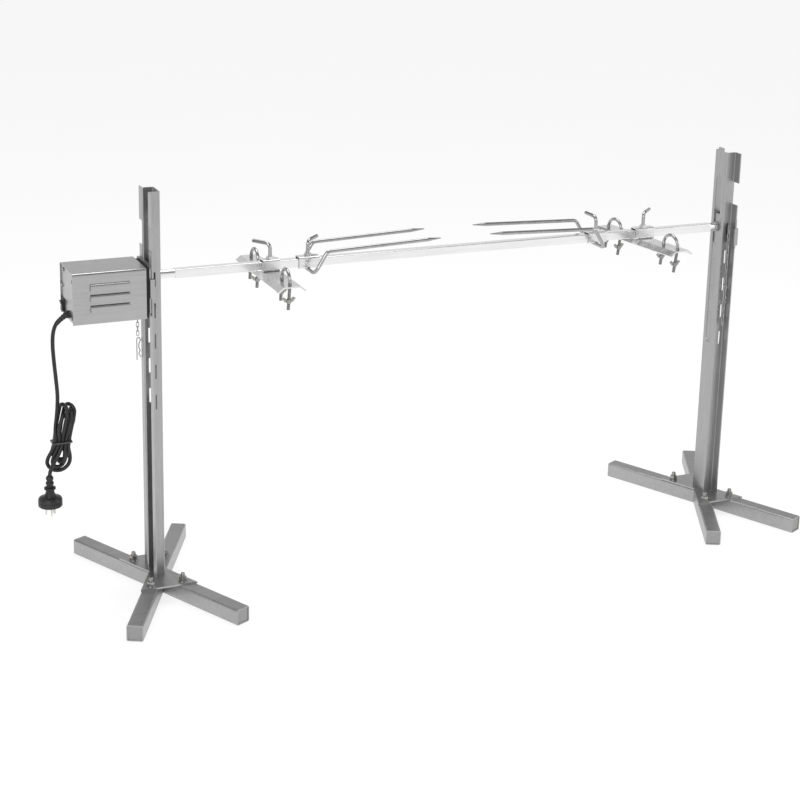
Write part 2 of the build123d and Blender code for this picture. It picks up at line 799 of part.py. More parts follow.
cord_radii = route_radii(cord_route)
print("cord radii", [round(r, 1) for r in cord_radii])
with BuildPart() as cord:
    with BuildLine() as cord_line:
        FilletPolyline(*cord_route, radius=cord_radii)
    with BuildSketch(Plane(origin=cord_route[0], z_dir=cord_way)):
        Circle(cord_d / 2)
    sweep(path=cord_line.wires()[0])
print("cord length", round(cord_line.wires()[0].length, 1))
print("cord volume over section", round(cord.part.volume / (pi * cord_d**2 / 4), 1))
keep(cord, "cord")

hank_y = 12.0
hank_half_t = 17.5
neck_half_t = 9.5
neck_low = 296.0
neck_high = 312.0
neck_x0 = -186.0
neck_x1 = -154.5
tie_z = 304.0
tie_d = 2.0
with BuildPart() as cord_hank:
    with BuildSketch(Plane.XZ.offset(-hank_y - hank_half_t)):
        with BuildLine():
            Spline(
                (-162.0, hank_top),
                (-148.0, 362.0),
                (-144.5, 345.0),
                (neck_x1, 306.0),
                (neck_x1, 302.0),
                (-154.5, 280.0),
                (-152.5, 262.0),
                (-166.0, 245.0),
                (-192.0, 241.0),
                (-204.5, 256.0),
                (-205.5, 272.0),
                (neck_x0, 302.0),
                (neck_x0, 306.0),
                (-184.0, 345.0),
                (-179.0, hank_top),
            )
            Line((-179.0, hank_top), (-162.0, hank_top))
        make_face()
    extrude(amount=2 * hank_half_t)
    neck_mid = (neck_x0 + neck_x1) / 2
    for s in (-1, 1):
        with Locations((neck_mid, hank_y + s * (neck_half_t + hank_half_t), tie_z)):
            Box(80, 2 * hank_half_t, neck_high - neck_low, mode=Mode.SUBTRACT)
keep(cord_hank, "cord_hank")

tie_gap = 0.6
tie_half_x = (neck_x1 - neck_x0) / 2 + tie_gap
tie_half_y = neck_half_t + tie_gap
with BuildPart() as cord_tie:
    with BuildSketch(Plane.XY.offset(tie_z - tie_d / 2)):
        with Locations((neck_mid, hank_y)):
            RectangleRounded(2 * (tie_half_x + tie_d), 2 * (tie_half_y + tie_d), 3.5)
            RectangleRounded(2 * tie_half_x, 2 * tie_half_y, 1.5, mode=Mode.SUBTRACT)
    extrude(amount=tie_d)
keep(cord_tie, "cord_tie")

# plug: a moulded round body with a ribbed relief, hanging pins down
plug_y = 4.0
plug_r = plug_d / 2
plug_profile = [
    (plug_r - 1.5, 0.0),
    (plug_r, 1.5),
    (plug_r, 8.0),
    (plug_r - 0.6, 8.8),
    (plug_r, 9.6),
    (plug_r, 13.0),
    (plug_r - 1.5, 16.0),
    (plug_r - 5.0, 17.5),
    (12.0, 19.0),
    (9.4, 22.5),
    (7.6, 27.0),
    (7.6, 31.0),
    (10.4, 32.5),
    (10.4, 35.5),
    (6.0, 37.0),
    (6.0, 41.0),
    (7.2, 42.0),
    (7.2, 45.5),
    (5.6, 46.5),
    (5.6, 50.0),
    (6.8, 51.0),
    (6.8, 54.0),
    (relief_d / 2, relief_top - plug_low),
]
with BuildPart() as plug_body:
    with BuildSketch(Plane.XZ.offset(-plug_y)):
        with BuildLine():
            Polyline(
                (plug_x, plug_low),
                *[(plug_x + r, plug_low + z) for r, z in plug_profile],
                (plug_x, relief_top),
                close=True,
            )
        make_face()
    revolve(axis=Axis((plug_x, plug_y, 0), (0, 0, 1)))
keep(plug_body, "plug_body")

with BuildPart() as plug_pins:
    with BuildSketch(Plane.XY.offset(plug_low)):
        with Locations(Location((plug_x - 7, plug_y + 4, 0), (0, 0, 60))):
            Rectangle(6.3, 1.6)
        with Locations(Location((plug_x + 7, plug_y + 4, 0), (0, 0, -60))):
            Rectangle(6.3, 1.6)
        with Locations((plug_x, plug_y - 8)):
            Rectangle(1.6, 6.3)
    extrude(amount=pin_low - plug_low)
keep(plug_pins, "plug_pins")


# clamps and forks on the spit
def thumb_screw(x, turn):
    # an L-shaped screw standing on the collar, its end bent over and up
    tip = spit_z + spit_w / 2 + slide_gap
    bend_z = collar_z + collar_out + screw_rise
    away = (cos(radians(turn)), sin(radians(turn)))
    end = (x + away[0] * screw_handle, away[1] * screw_handle, bend_z + screw_lift)
    with BuildPart() as screw:
        with BuildLine() as line:
            FilletPolyline((x, 0, tip), (x, 0, bend_z), end, radius=screw_bend)
        with BuildSketch(Plane.XY.offset(tip).shift_origin((x, 0, tip))):
            Circle(screw_rod_d / 2)
        sweep(path=line.wires()[0])
    return screw


def square_collar(x, length):
    with BuildPart() as collar:
        with BuildSketch(Plane.YZ.offset(x - length / 2)):
            with Locations((0, collar_z)):
                RectangleRounded(2 * collar_out, 2 * collar_out, spit_corner + collar_wall)
                bore = spit_w + 2 * collar_gap
                RectangleRounded(bore, bore, spit_corner, mode=Mode.SUBTRACT)
        extrude(amount=length)
        with BuildSketch(Plane.XY.offset(collar_z + collar_out - 0.5)):
            with Locations((x, 0)):
                RegularPolygon(weld_boss_d / 2 - 1, 6, major_radius=False)
        extrude(amount=weld_boss_h + 0.5)
        with BuildSketch(Plane.XY.offset(spit_z)):
            with Locations((x, 0)):
                Circle(screw_rod_d / 2 + run_gap)
        extrude(amount=collar_out * 2, mode=Mode.SUBTRACT)
    return collar


def fork(x, way):
    bar_z = collar_z - collar_out - prong_d / 2
    prong_z = spit_z + prong_rise
    start = x + way * prong_lead
    slope = Vector(way * prong_len, 0, prong_climb).normalized()
    with BuildPart() as prongs:
        with BuildLine() as line:
            FilletPolyline(
                Vector(start, -prong_y, prong_z) + slope * (prong_len - prong_taper),
                (start, -prong_y, prong_z),
                (x, -prong_y, bar_z),
                (x, prong_y, bar_z),
                (start, prong_y, prong_z),
                Vector(start, prong_y, prong_z) + slope * (prong_len - prong_taper),
                radius=prong_bend,
            )
        far = Vector(start, -prong_y, prong_z) + slope * (prong_len - prong_taper)
        with BuildSketch(Plane(origin=far, z_dir=-slope)):
            Circle(prong_d / 2)
        sweep(path=line.wires()[0])
        for y in (-prong_y, prong_y):
            neck = Vector(start, y, prong_z) + slope * (prong_len - prong_taper)
            with BuildSketch(Plane(origin=neck, z_dir=slope)):
                Circle(prong_d / 2)
            with BuildSketch(Plane(origin=neck + slope * prong_taper, z_dir=slope)):
                Circle(prong_d / 8)
            loft()
    return prongs


def u_plane(x, y, seat):
    tilt = radians(u_tilt)
    plate_z = collar_z - collar_out
    return Plane(
        origin=(x, y, plate_z + seat),
        x_dir=(0, cos(tilt), sin(tilt)),
        z_dir=(1, 0, 0),
    )


def clamp_plate(x):
    top = collar_z - collar_out
    half = flat_w / 2
    slope = flange_dip / flange_w
    with BuildPart() as flat:
        with BuildSketch(Plane.XZ.offset(-flat_half)):
            with BuildLine():
                Polyline(
                    (x - half - flange_w, top - flange_dip),
                    (x - half, top),
                    (x + half, top),
                    (x + half + flange_w, top - flange_dip),
                    (x + half + flange_w - slope * flat_t, top - flange_dip - flat_t),
                    (x + half - slope * flat_t, top - flat_t),
                    (x - half + slope * flat_t, top - flat_t),
                    (x - half - flange_w + slope * flat_t, top - flange_dip - flat_t),
                    close=True,
                )
            make_face()
        extrude(amount=2 * flat_half)
        for y in (-u_y, u_y):
            for s in (-1, 1):
                hole_y = y + s * u_half
                with BuildSketch(Plane.XY.offset(top - 2 * flat_t)):
                    with Locations((x, hole_y)):
                        SlotOverall(u_rod_d + 4 * u_gap, u_rod_d + 1.5 * u_gap, rotation=90)
                extrude(amount=3 * flat_t, mode=Mode.SUBTRACT)
    return flat


def u_bolt(x, y, seat):
    base = u_plane(x, y, seat)
    with BuildPart() as bolt:
        left_end = base.from_local_coords(Vector(-u_half, -u_leg, 0))
        left_top = base.from_local_coords(Vector(-u_half, 0, 0))
        crown = base.from_local_coords(Vector(0, u_half, 0))
        right_top = base.from_local_coords(Vector(u_half, 0, 0))
        right_end = base.from_local_coords(Vector(u_half, -u_leg, 0))
        with BuildLine() as line:
            Line(left_end, left_top)
            ThreePointArc(left_top, crown, right_top)
            Line(right_top, right_end)
        with BuildSketch(Plane(origin=left_end, z_dir=left_top - left_end)):
            Circle(u_rod_d / 2)
        sweep(path=line.wires()[0])
    return bolt


def wing_nuts(x, y, seat):
    base = u_plane(x, y, seat)
    with BuildPart() as nuts:
        for s in (-1, 1):
            leg_end = base.from_local_coords(Vector(s * u_half, -u_leg, 0))
            up = (base.from_local_coords(Vector(s * u_half, 0, 0)) - leg_end).normalized()
            middle = leg_end + up * wing_up
            with BuildSketch(Plane(origin=middle - up * (wing_hub_h / 2), x_dir=(1, 0, 0), z_dir=up)):
                Circle(wing_hub_d / 2)
            extrude(amount=wing_hub_h, taper=10)
            wing_plane = Plane(origin=middle - up * (wing_hub_h / 2), x_dir=(1, 0, 0), z_dir=(0, -1, 0))
            with BuildSketch(wing_plane):
                for w in (-1, 1):
                    with BuildLine():
                        Polyline(
                            (w * 2.5, 0.5),
                            (w * wing_span * 0.6, 1.5),
                            (w * wing_span, wing_hub_h + 1),
                            (w * (wing_span - 4.5), wing_hub_h + 3.5),
                            (w * 2.5, wing_hub_h - 1.5),
                            close=True,
                        )
                    make_face()
            extrude(amount=wing_t / 2, both=True)
            with BuildSketch(Plane(origin=leg_end - up * 2, x_dir=(1, 0, 0), z_dir=up)):
                Circle(u_rod_d / 2 + run_gap)
            extrude(amount=wing_up * 3, mode=Mode.SUBTRACT)
    return nuts


screw_turns = {"left_clamp": 130.0, "left_fork": 43.0, "right_fork": 96.0, "right_clamp": 42.0}
clamps = {
    "left": (left_clamp_x, left_clamp_len, 0.0),
    "right": (right_clamp_x, right_clamp_len, right_flat_turn),
}
forks = {"left": (left_fork_x, 1.0), "right": (right_fork_x, -1.0)}

for side, (x, length, turn) in clamps.items():
    placed = Location((x, 0, 0), (0, 0, turn))
    keep(square_collar(x, length), f"{side}_clamp_collar")
    keep(clamp_plate(0), f"{side}_clamp_plate", placed)
    keep(thumb_screw(x, screw_turns[f"{side}_clamp"]), f"{side}_clamp_screw")
    for place, y in (("front", -u_y), ("rear", u_y)):
        keep(u_bolt(0, y, u_seat[place]), f"{side}_{place}_u_bolt", placed)
        keep(wing_nuts(0, y, u_seat[place]), f"{side}_{place}_wing_nuts", placed)

for side, (x, way) in forks.items():
    keep(square_collar(x, fork_len), f"{side}_fork_collar")
    keep(fork(x, way), f"{side}_fork_prongs")
    keep(thumb_screw(x, screw_turns[f"{side}_fork"]), f"{side}_fork_screw")


# the retaining clips on their chains, one at each carriage
def chain(x, y, top, count, tail):
    bend = link_w / 2 - link_d / 2
    straight = link_len - link_w
    with BuildPart() as link:
        with BuildLine() as line:
            Line((bend, 0, -straight / 2), (bend, 0, straight / 2))
            ThreePointArc((bend, 0, straight / 2), (0, 0, straight / 2 + bend), (-bend, 0, straight / 2))
            Line((-bend, 0, straight / 2), (-bend, 0, -straight / 2))
            ThreePointArc((-bend, 0, -straight / 2), (0, 0, -straight / 2 - bend), (bend, 0, -straight / 2))
        with BuildSketch(Plane.XY):
            with Locations((bend, 0)):
                Circle(link_d / 2)
        sweep(path=line.wires()[0])
    clip_top = top - count * link_pitch
    steps = [top - n * link_pitch for n in range(count)]
    steps += [clip_top - clip_len - link_len / 2 - 1 - n * link_pitch for n in range(tail)]
    spots = [Location((x, y, z), (0, 0, 90 * (n % 2))) for n, z in enumerate(steps)]
    return [spot * link.part for spot in spots]


def retaining_clip(x, y, top):
    # a straight leg, a round eye and a waved leg
    with BuildPart() as clip:
        with BuildLine() as line:
            FilletPolyline(
                (x, y, top - clip_len),
                (x, y, top - 4),
                (x + 1.5, y, top - 0.5),
                (x + 5, y, top - 0.5),
                (x + 7, y, top - 5),
                (x + 4, y, top - 12),
                (x + 3.4, y, top - 18),
                (x + 6, y, top - 25),
                (x + 3.4, y, top - 31),
                (x + 7, y, top - 37),
                radius=1.6,
            )
        with BuildSketch(Plane.XY.offset(top - clip_len)):
            with Locations((x, y)):
                Circle(clip_d / 2)
        sweep(path=line.wires()[0])
    return clip


for side, (x, y, top, count, tail) in chains.items():
    clip = retaining_clip(x - clip_d, y, top - count * link_pitch)
    pieces = [clip.part, *chain(x, y, top, count, tail)]
    chained = Compound(label=f"{side}_clip", children=pieces)
    export_step(chained, f"parts/{side}_clip.step")
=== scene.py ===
from math import cos, pi, radians, sin

import bpy
import numpy as np
from mathutils import Matrix, Vector


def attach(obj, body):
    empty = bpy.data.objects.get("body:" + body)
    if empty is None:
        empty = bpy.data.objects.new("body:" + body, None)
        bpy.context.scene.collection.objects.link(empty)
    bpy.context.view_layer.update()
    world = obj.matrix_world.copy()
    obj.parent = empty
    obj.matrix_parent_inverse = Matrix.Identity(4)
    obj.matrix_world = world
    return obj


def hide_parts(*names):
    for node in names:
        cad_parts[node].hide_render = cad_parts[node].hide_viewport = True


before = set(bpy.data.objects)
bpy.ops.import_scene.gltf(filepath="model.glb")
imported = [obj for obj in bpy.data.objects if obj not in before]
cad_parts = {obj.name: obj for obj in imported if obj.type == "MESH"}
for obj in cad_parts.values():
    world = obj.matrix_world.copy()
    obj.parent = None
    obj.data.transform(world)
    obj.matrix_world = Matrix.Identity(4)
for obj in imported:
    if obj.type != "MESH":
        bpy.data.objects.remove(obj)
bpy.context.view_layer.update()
scene = bpy.context.scene
print("frame loaded:", len(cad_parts), "nodes")

view = {
    "place": (-0.8230, -2.9748, 1.4394),
    "yaw": 0.411886,
    "pitch": 0.267849,
    "roll": 0.022773,
    "lens": 80.494,
    "sensor": 36,
    "shiftY": -0.15,
    "reach": 50,  # how far it sees, in metres
}


def makeCamera():
    yaw, pitch, roll = view["yaw"], view["pitch"], view["roll"]
    ahead = Vector((sin(yaw) * cos(pitch), cos(yaw) * cos(pitch), -sin(pitch)))
    right = Vector((cos(yaw), -sin(yaw), 0))
    up = right.cross(ahead)
    rolledRight = right * cos(roll) + up * sin(roll)
    rolledUp = up * cos(roll) - right * sin(roll)
    turn = Matrix((rolledRight, rolledUp, -ahead)).transposed().to_4x4()
    data = bpy.data.cameras.new("mainCamera")
    data.lens = view["lens"]
    data.sensor_width = view["sensor"]
    data.shift_y = view["shiftY"]
    data.clip_end = view["reach"]
    camera = bpy.data.objects.new("mainCamera", data)
    camera.matrix_world = Matrix.Translation(view["place"]) @ turn
    scene.collection.objects.link(camera)
    scene.camera = camera


makeCamera()


class Value:
    # a socket that can be used in a Python expression
    def __init__(self, tree, socket):
        self.tree = tree
        self.socket = socket

    def maths(self, operation, a, b=None):
        node = self.tree.nodes.new("ShaderNodeMath")
        node.operation = operation
        for slot, item in zip(node.inputs, (a, b)):
            if isinstance(item, Value):
                self.tree.links.new(item.socket, slot)
            elif item is not None:
                slot.default_value = item
        return Value(self.tree, node.outputs[0])

    def __add__(self, other):
        return self.maths("ADD", self, other)

    def __mul__(self, other):
        return self.maths("MULTIPLY", self, other)

    def __gt__(self, other):
        return self.maths("GREATER_THAN", self, other)

    def __lt__(self, other):
        return self.maths("LESS_THAN", self, other)

    __radd__ = __add__
    __rmul__ = __mul__


class Finish:
    # one material and the nodes in it
    def __init__(self, name):
        self.material = bpy.data.materials.new(name)
        self.material.use_nodes = True
        self.tree = self.material.node_tree
        self.shader = self.tree.nodes["Principled BSDF"]

    def node(self, kind, settings=None, sockets=None, out=0):
        node = self.tree.nodes.new("ShaderNode" + kind)
        for key, item in (settings or {}).items():
            if key == "stops":
                for stop, (place, colour) in zip(self.stopsFor(node, len(item)), item):
                    stop.position = place
                    stop.color = (*colour, 1.0) if len(colour) == 3 else colour
            else:
                setattr(node, key, item)
        for key, item in (sockets or {}).items():
            if isinstance(item, Value):
                self.tree.links.new(item.socket, node.inputs[key])
            else:
                node.inputs[key].default_value = item
        return Value(self.tree, node.outputs[out])

    def stopsFor(self, ramp, count):
        stops = ramp.color_ramp.elements
        while len(stops) < count:
            stops.new(0.5)
        return stops

    def place(self, scale=(1, 1, 1), turn=(0, 0, 0)):
        # object coordinates, stretched and turned
        here = self.node("TexCoord", out=3)
        return self.node("Mapping", None, {"Vector": here, "Scale": scale, "Rotation": turn})

    def noise(self, where, scale, detail=3.0, rough=0.6):
        wanted = {"Vector": where, "Scale": scale, "Detail": detail, "Roughness": rough}
        return self.node("TexNoise", None, wanted)

    def mix(self, amount, a, b):
        # colours a and b, mixed
        node = self.tree.nodes.new("ShaderNodeMix")
        node.data_type = "RGBA"
        colours = [s for s in node.inputs if s.type == "RGBA"]
        for slot, item in ((node.inputs[0], amount), (colours[0], a), (colours[1], b)):
            if isinstance(item, Value):
                self.tree.links.new(item.socket, slot)
            else:
                slot.default_value = (*item, 1.0) if isinstance(item, tuple) else item
        return Value(self.tree, [s for s in node.outputs if s.type == "RGBA"][0])

    def range(self, value, low, high, fromLow=0.0, fromHigh=1.0):
        wanted = {"Value": value, "From Min": fromLow, "From Max": fromHigh, "To Min": low, "To Max": high}
        return self.node("MapRange", None, wanted)

    def axis(self, index):
        # one coordinate of the point, in metres
        here = self.node("TexCoord", out=3)
        return self.node("SeparateXYZ", None, {"Vector": here}, out=index)

    def wave(self, value, pitch):
        # a sine ripple from 0 to 1, one crest each pitch
        turn = value * (2 * pi / pitch)
        return turn.maths("SINE", turn) * 0.5 + 0.5

    def bump(self, height, strength, distance):
        wanted = {"Height": height, "Strength": strength, "Distance": distance}
        return self.node("Bump", None, wanted)

    def set(self, **values):
        for key, item in values.items():
            socket = self.shader.inputs[key.replace("_", " ")]
            if isinstance(item, Value):
                self.tree.links.new(item.socket, socket)
            else:
                socket.default_value = (*item, 1.0) if isinstance(item, tuple) else item
        return self


def steelBase(f, light, dark, rough, grain, streak, cloud, handled, bump):
    # tone, gloss and relief shared by the drawn and rolled steels
    tone = grain * 0.25 + streak * 0.45 + cloud * 0.3
    f.set(
        Base_Color=f.mix(f.range(tone, 0.0, 1.0, 0.32, 0.68), dark, light),
        Metallic=1.0,
        Roughness=f.range(streak * 0.3 + cloud * 0.35 + handled * 0.35, rough[0], rough[1], 0.32, 0.68),
        Normal=f.bump(grain * 0.6 + streak * 0.4, bump, 0.0002),
    )
    return f.material


def brushedMetal(name, light, dark, stretch, turn=(0, 0, 0), rough=(0.25, 0.42), bump=0.25):
    # fine drawn grain, wide soft smears and a few rubbed patches
    f = Finish(name)
    along = f.place(stretch, turn)
    grain = f.noise(along, 900.0, 2.0, 0.7)
    streak = f.noise(along, 220.0, 4.0, 0.65)
    cloud = f.noise(f.place(), 9.0, 3.0, 0.55)
    handled = f.noise(f.place(), 60.0, 2.0, 0.6)
    return steelBase(f, light, dark, rough, grain, streak, cloud, handled, bump)


def polishedMetal(name, light, dark, rough=(0.12, 0.26), bump=0.12, threads=()):
    # rolled or plated metal: faint pits, rub marks and uneven gloss
    # threads: (pitch, low, high) bands along Z where a screw thread is cut; the grooves get painted shade
    f = Finish(name)
    here = f.place()
    pits = f.noise(here, 1400.0, 2.0, 0.7)
    rub = f.noise(f.place((1, 1, 0.15)), 160.0, 4.0, 0.7)
    cloud = f.noise(here, 35.0, 3.0, 0.6)
    handled = f.noise(here, 80.0, 2.0, 0.6)
    material = steelBase(f, light, dark, rough, pits, rub, cloud, handled, bump)
    for pitch, low, high in threads:
        z = f.axis(2)
        ridge = f.wave(z, pitch)
        inside = (z > low) * (z < high)
        cut = f.bump(ridge * inside, 0.9, 0.0006)
        # painted shade: the base colour darkens in each thread groove
        tone = f.mix(ridge * inside * -0.55 + inside * 0.55, light, tuple(0.25 * c for c in dark))
        f.set(Normal=cut, Base_Color=tone)
    return material


def mouldedPlastic(name, colour, lighter, rough=(0.35, 0.55), grainScale=1200.0, bump=0.2):
    # spark-eroded grain with a slightly scuffed tone
    f = Finish(name)
    here = f.place()
    grain = f.noise(here, grainScale, 2.0, 0.6)
    scuff = f.noise(here, 55.0, 4.0, 0.65)
    f.set(
        Base_Color=f.mix(f.range(scuff, 0.0, 1.0, 0.35, 0.75), colour, lighter),
        Roughness=f.range(scuff * 0.6 + grain * 0.4, rough[0], rough[1], 0.3, 0.7),
        Normal=f.bump(grain, bump, 0.0002),
    )
    f.shader.inputs["Specular IOR Level"].default_value = 0.45
    return f.material


def grey(level, warm=0.0):
    return (level + warm, level, level - warm)


finishes = {
    "postSteel": brushedMetal("postSteel", grey(0.46), grey(0.34), (1, 1, 0.03)),
    "boxSteel": brushedMetal("boxSteel", grey(0.47), grey(0.38), (0.03, 1, 1), rough=(0.22, 0.36)),
    "plateSteel": brushedMetal("plateSteel", grey(0.52), grey(0.36), (1, 0.04, 1), rough=(0.24, 0.42)),
    # painted shade: the leg caps' steel is darker than the legs' so the end faces look shaded
    "paintedShadeCapSteel": brushedMetal("paintedShadeCapSteel", grey(0.40), grey(0.28), (1, 1, 1), rough=(0.35, 0.5)),
    "longLegSteel": brushedMetal(
        "longLegSteel", grey(0.50), grey(0.34), (0.05, 1, 1), (0, 0, radians(64)), (0.3, 0.48)
    ),
    "crossLegSteel": brushedMetal(
        "crossLegSteel", grey(0.50), grey(0.34), (0.05, 1, 1), (0, 0, radians(-64)), (0.3, 0.48)
    ),
    "spitSteel": brushedMetal("spitSteel", grey(0.92), grey(0.74), (0.03, 1, 1), rough=(0.12, 0.24)),
    "collarSteel": brushedMetal("collarSteel", grey(0.86), grey(0.64), (0.1, 1, 1), rough=(0.16, 0.3)),
    "wireSteel": polishedMetal("wireSteel", grey(0.50), grey(0.32), (0.08, 0.2)),
    "threadedSteel": polishedMetal(
        "threadedSteel", grey(0.40), grey(0.24), (0.1, 0.24), 0.12, [(0.001, 0.0, 0.594)]
    ),
    "zincPlate": polishedMetal("zincPlate", grey(0.42, 0.006), grey(0.26, 0.006), (0.16, 0.34), 0.25),
    "studZinc": polishedMetal(
        "studZinc", grey(0.42, 0.006), grey(0.26, 0.006), (0.16, 0.34), 0.25, [(0.00125, 0.0422, 0.1)]
    ),
    # painted shade: the lock blade's steel is near-black, standing in for the shade it sits in
    "paintedShadeBladeSteel": polishedMetal("paintedShadeBladeSteel", grey(0.14), grey(0.09), (0.3, 0.45)),
    "castAlloy": polishedMetal("castAlloy", grey(0.50), grey(0.38), (0.4, 0.6), 0.5),
    "motorShell": mouldedPlastic("motorShell", (0.20, 0.21, 0.22), (0.28, 0.29, 0.30), (0.4, 0.6)),
    "gearNylon": mouldedPlastic("gearNylon", (0.72, 0.70, 0.63), (0.80, 0.78, 0.72)),
    "blackPlastic": mouldedPlastic("blackPlastic", grey(0.012), grey(0.03)),
    "plugPlastic": mouldedPlastic("plugPlastic", grey(0.010), grey(0.028), (0.3, 0.5)),
    "gasketRubber": mouldedPlastic("gasketRubber", grey(0.012), grey(0.028), (0.7, 0.85)),
    "pinPlate": polishedMetal("pinPlate", grey(0.72, 0.02), grey(0.55, 0.02), (0.2, 0.35)),
    "tieWire": mouldedPlastic("tieWire", grey(0.06), grey(0.12), (0.3, 0.45)),
    "cordSheath": mouldedPlastic("cordSheath", grey(0.008), grey(0.020), (0.26, 0.42), 700.0),
}


def finishFor(name):
    rules = [
        # the leg caps take the leg steel darkened as painted shade
        ("leg_long", "longLegSteel"), ("leg_cross", "crossLegSteel"), ("leg_caps", "paintedShadeCapSteel"),
        ("base_plate", "plateSteel"), ("post", "postSteel"),
        ("foot_nuts", "studZinc"), ("foot_", "zincPlate"),
        ("bracket_gasket", "gasketRubber"), ("bracket", "postSteel"), ("motor_cover", "boxSteel"),
        ("motor_tray", "plateSteel"), ("housing_screws", "zincPlate"), ("gearbox", "castAlloy"),
        ("motor_can", "motorShell"), ("motor_rotor", "zincPlate"), ("output_gear", "gearNylon"),
        ("switch", "blackPlastic"), ("gland", "blackPlastic"),
        ("plug_pins", "pinPlate"), ("cord_tie", "tieWire"),
        ("plug_body", "plugPlastic"), ("cord", "cordSheath"), ("collar", "collarSteel"),
        ("clamp_plate", "collarSteel"), ("spit_rod", "spitSteel"), ("prongs", "wireSteel"),
        ("u_bolt", "threadedSteel"), ("screw", "wireSteel"), ("wing", "zincPlate"),
        # the blade takes the steel darkened as painted shade
        ("socket", "zincPlate"), ("bush", "castAlloy"), ("blade", "paintedShadeBladeSteel"),
    ]
    for part, finish in rules:
        if part in name:
            return finishes[finish]
    return finishes["wireSteel"]


for name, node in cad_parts.items():
    node.data.materials.clear()
    node.data.materials.append(finishFor(name))
print("finishes made:", len(finishes))

# the cord's places are in millimetres
cordSize = {
    "diameter": 0.007,  # metres
    "smooth": 6,  # steps between two points
    "round": 5,  # steps round a quarter of the sheath
    "tieZ": 304.0,
    "lean": 0.16,  # how far the hank leans to the left as it hangs, per mm of drop
    "middle": (-170.0, 12.0),  # of the hank at its tie
}
cordHang = [
    (-154.0, 10.0, 539.0),
    (-162.0, 10.0, 535.3),
    (-170.5, 10.2, 528.5),
    (-176.8, 10.6, 518.0),
    (-180.2, 11.1, 504.0),
    (-181.0, 11.6, 484.0),
    (-179.4, 12.1, 456.0),
    (-176.9, 12.4, 426.0),
    (-175.0, 12.2, 400.0),
    (-174.6, 12.0, 383.0),
]
cordTail = [
    (-177.0, 2.5, 284.0),
    (-186.0, 0.5, 271.0),
    (-192.5, 1.5, 258.0),
    (-195.0, 3.6, 247.0),
    (-195.0, 4.0, 240.0),
]
# each turn of the hank: the angles round the hank at which it falls and rises,
# where it passes the tie on the way down and up, its top, its bottom and its lower half width
hankTurns = [
    {
        "fall": 180, "fallTie": (-12.4, -4.6), "rise": 0, "riseTie": (12.4, 4.8),
        "top": 357, "low": 247.5, "fan": 21.5,
    },
    {
        "fall": 225, "fallTie": (-6.2, -5.0), "rise": 45, "riseTie": (4.4, 5.0),
        "top": 364.5, "low": 255.0, "fan": 19.5,
    },
    {
        "fall": 296, "fallTie": (6.4, -5.0), "rise": 96, "riseTie": (-4.0, 5.0),
        "top": 371.5, "low": 262.0, "fan": 16.5,
    },
    {
        "fall": 328, "fallTie": (12.4, -4.6), "rise": 140, "riseTie": (-12.0, 4.8),
        "top": 374, "low": 268.5, "fan": 16.0,
    },
]
hankShape = {
    "radius": 14.8,  # of the ring of runs above the tie
    "entryZ": 352.0,  # where the first run joins the ring
    "ringZ": 331.0,  # where the runs stand on the ring
    "tieHalf": 7.0,  # a run goes straight this far above and below the tie
    "foldStep": 36,  # degrees between a fold's points
    "foldOut": 1.03,  # how far the points stand outside the half circle
    "lowerMiddle": 4.0,  # how far the lower loops' middle stands back
    "lowerDepth": 10.5,  # half depth of the lower loops
    "lastFall": 262,  # angle of the run that goes on to the plug
    "lastTie": (0.2, -5.2),
}


def hankPoints():
    # a run stands on a circle round the leaning axis above the tie, and on an ellipse below it
    # a fold is half a circle, six points 36 degrees apart, from one run to the other
    middleX, middleY = cordSize["middle"]
    spots = []

    def stand(angle, z, across, depth, back=0.0):
        a = radians(angle)
        leaning = middleX + (z - cordSize["tieZ"]) * cordSize["lean"]
        return np.array([leaning + across * cos(a), middleY + back + depth * sin(a), z])

    def upper(angle, z):
        return stand(angle, z, hankShape["radius"], hankShape["radius"])

    def atTie(offset, way):
        for dz in (-hankShape["tieHalf"] * way, hankShape["tieHalf"] * way):
            z = cordSize["tieZ"] + dz
            leaning = middleX + dz * cordSize["lean"]
            spots.append((leaning + offset[0], middleY + offset[1], z))

    def fold(first, last, peak, way):
        # way is 1 over the top and -1 round the bottom; peak is the fold's highest or lowest height
        middle, half = (first + last) / 2, (last - first) / 2
        size = np.linalg.norm(half[:2])
        out = hankShape["foldOut"]
        for turn in range(0, 181, hankShape["foldStep"]):
            spot = middle - half * out * cos(radians(turn))
            spot[2] = peak + way * size * (out * sin(radians(turn)) - 1.0)
            spots.append(tuple(spot))

    spots.append(tuple(upper(hankTurns[0]["fall"], hankShape["entryZ"])))
    for turn, following in zip(hankTurns, hankTurns[1:] + [{"fall": hankShape["lastFall"]}]):
        lowerZ, depth, back = turn["low"] + turn["fan"], hankShape["lowerDepth"], hankShape["lowerMiddle"]
        lower = [stand(turn[run], lowerZ, turn["fan"], depth, back) for run in ("fall", "rise")]
        spots.append(tuple(upper(turn["fall"], hankShape["ringZ"])))
        atTie(turn["fallTie"], -1)
        fold(lower[0], lower[1], turn["low"], -1)
        atTie(turn["riseTie"], 1)
        spots.append(tuple(upper(turn["rise"], hankShape["ringZ"])))
        fold(upper(turn["rise"], turn["top"]), upper(following["fall"], turn["top"]), turn["top"], 1)
    spots.append(tuple(upper(hankShape["lastFall"], hankShape["ringZ"])))
    atTie(hankShape["lastTie"], -1)
    return np.array(spots)


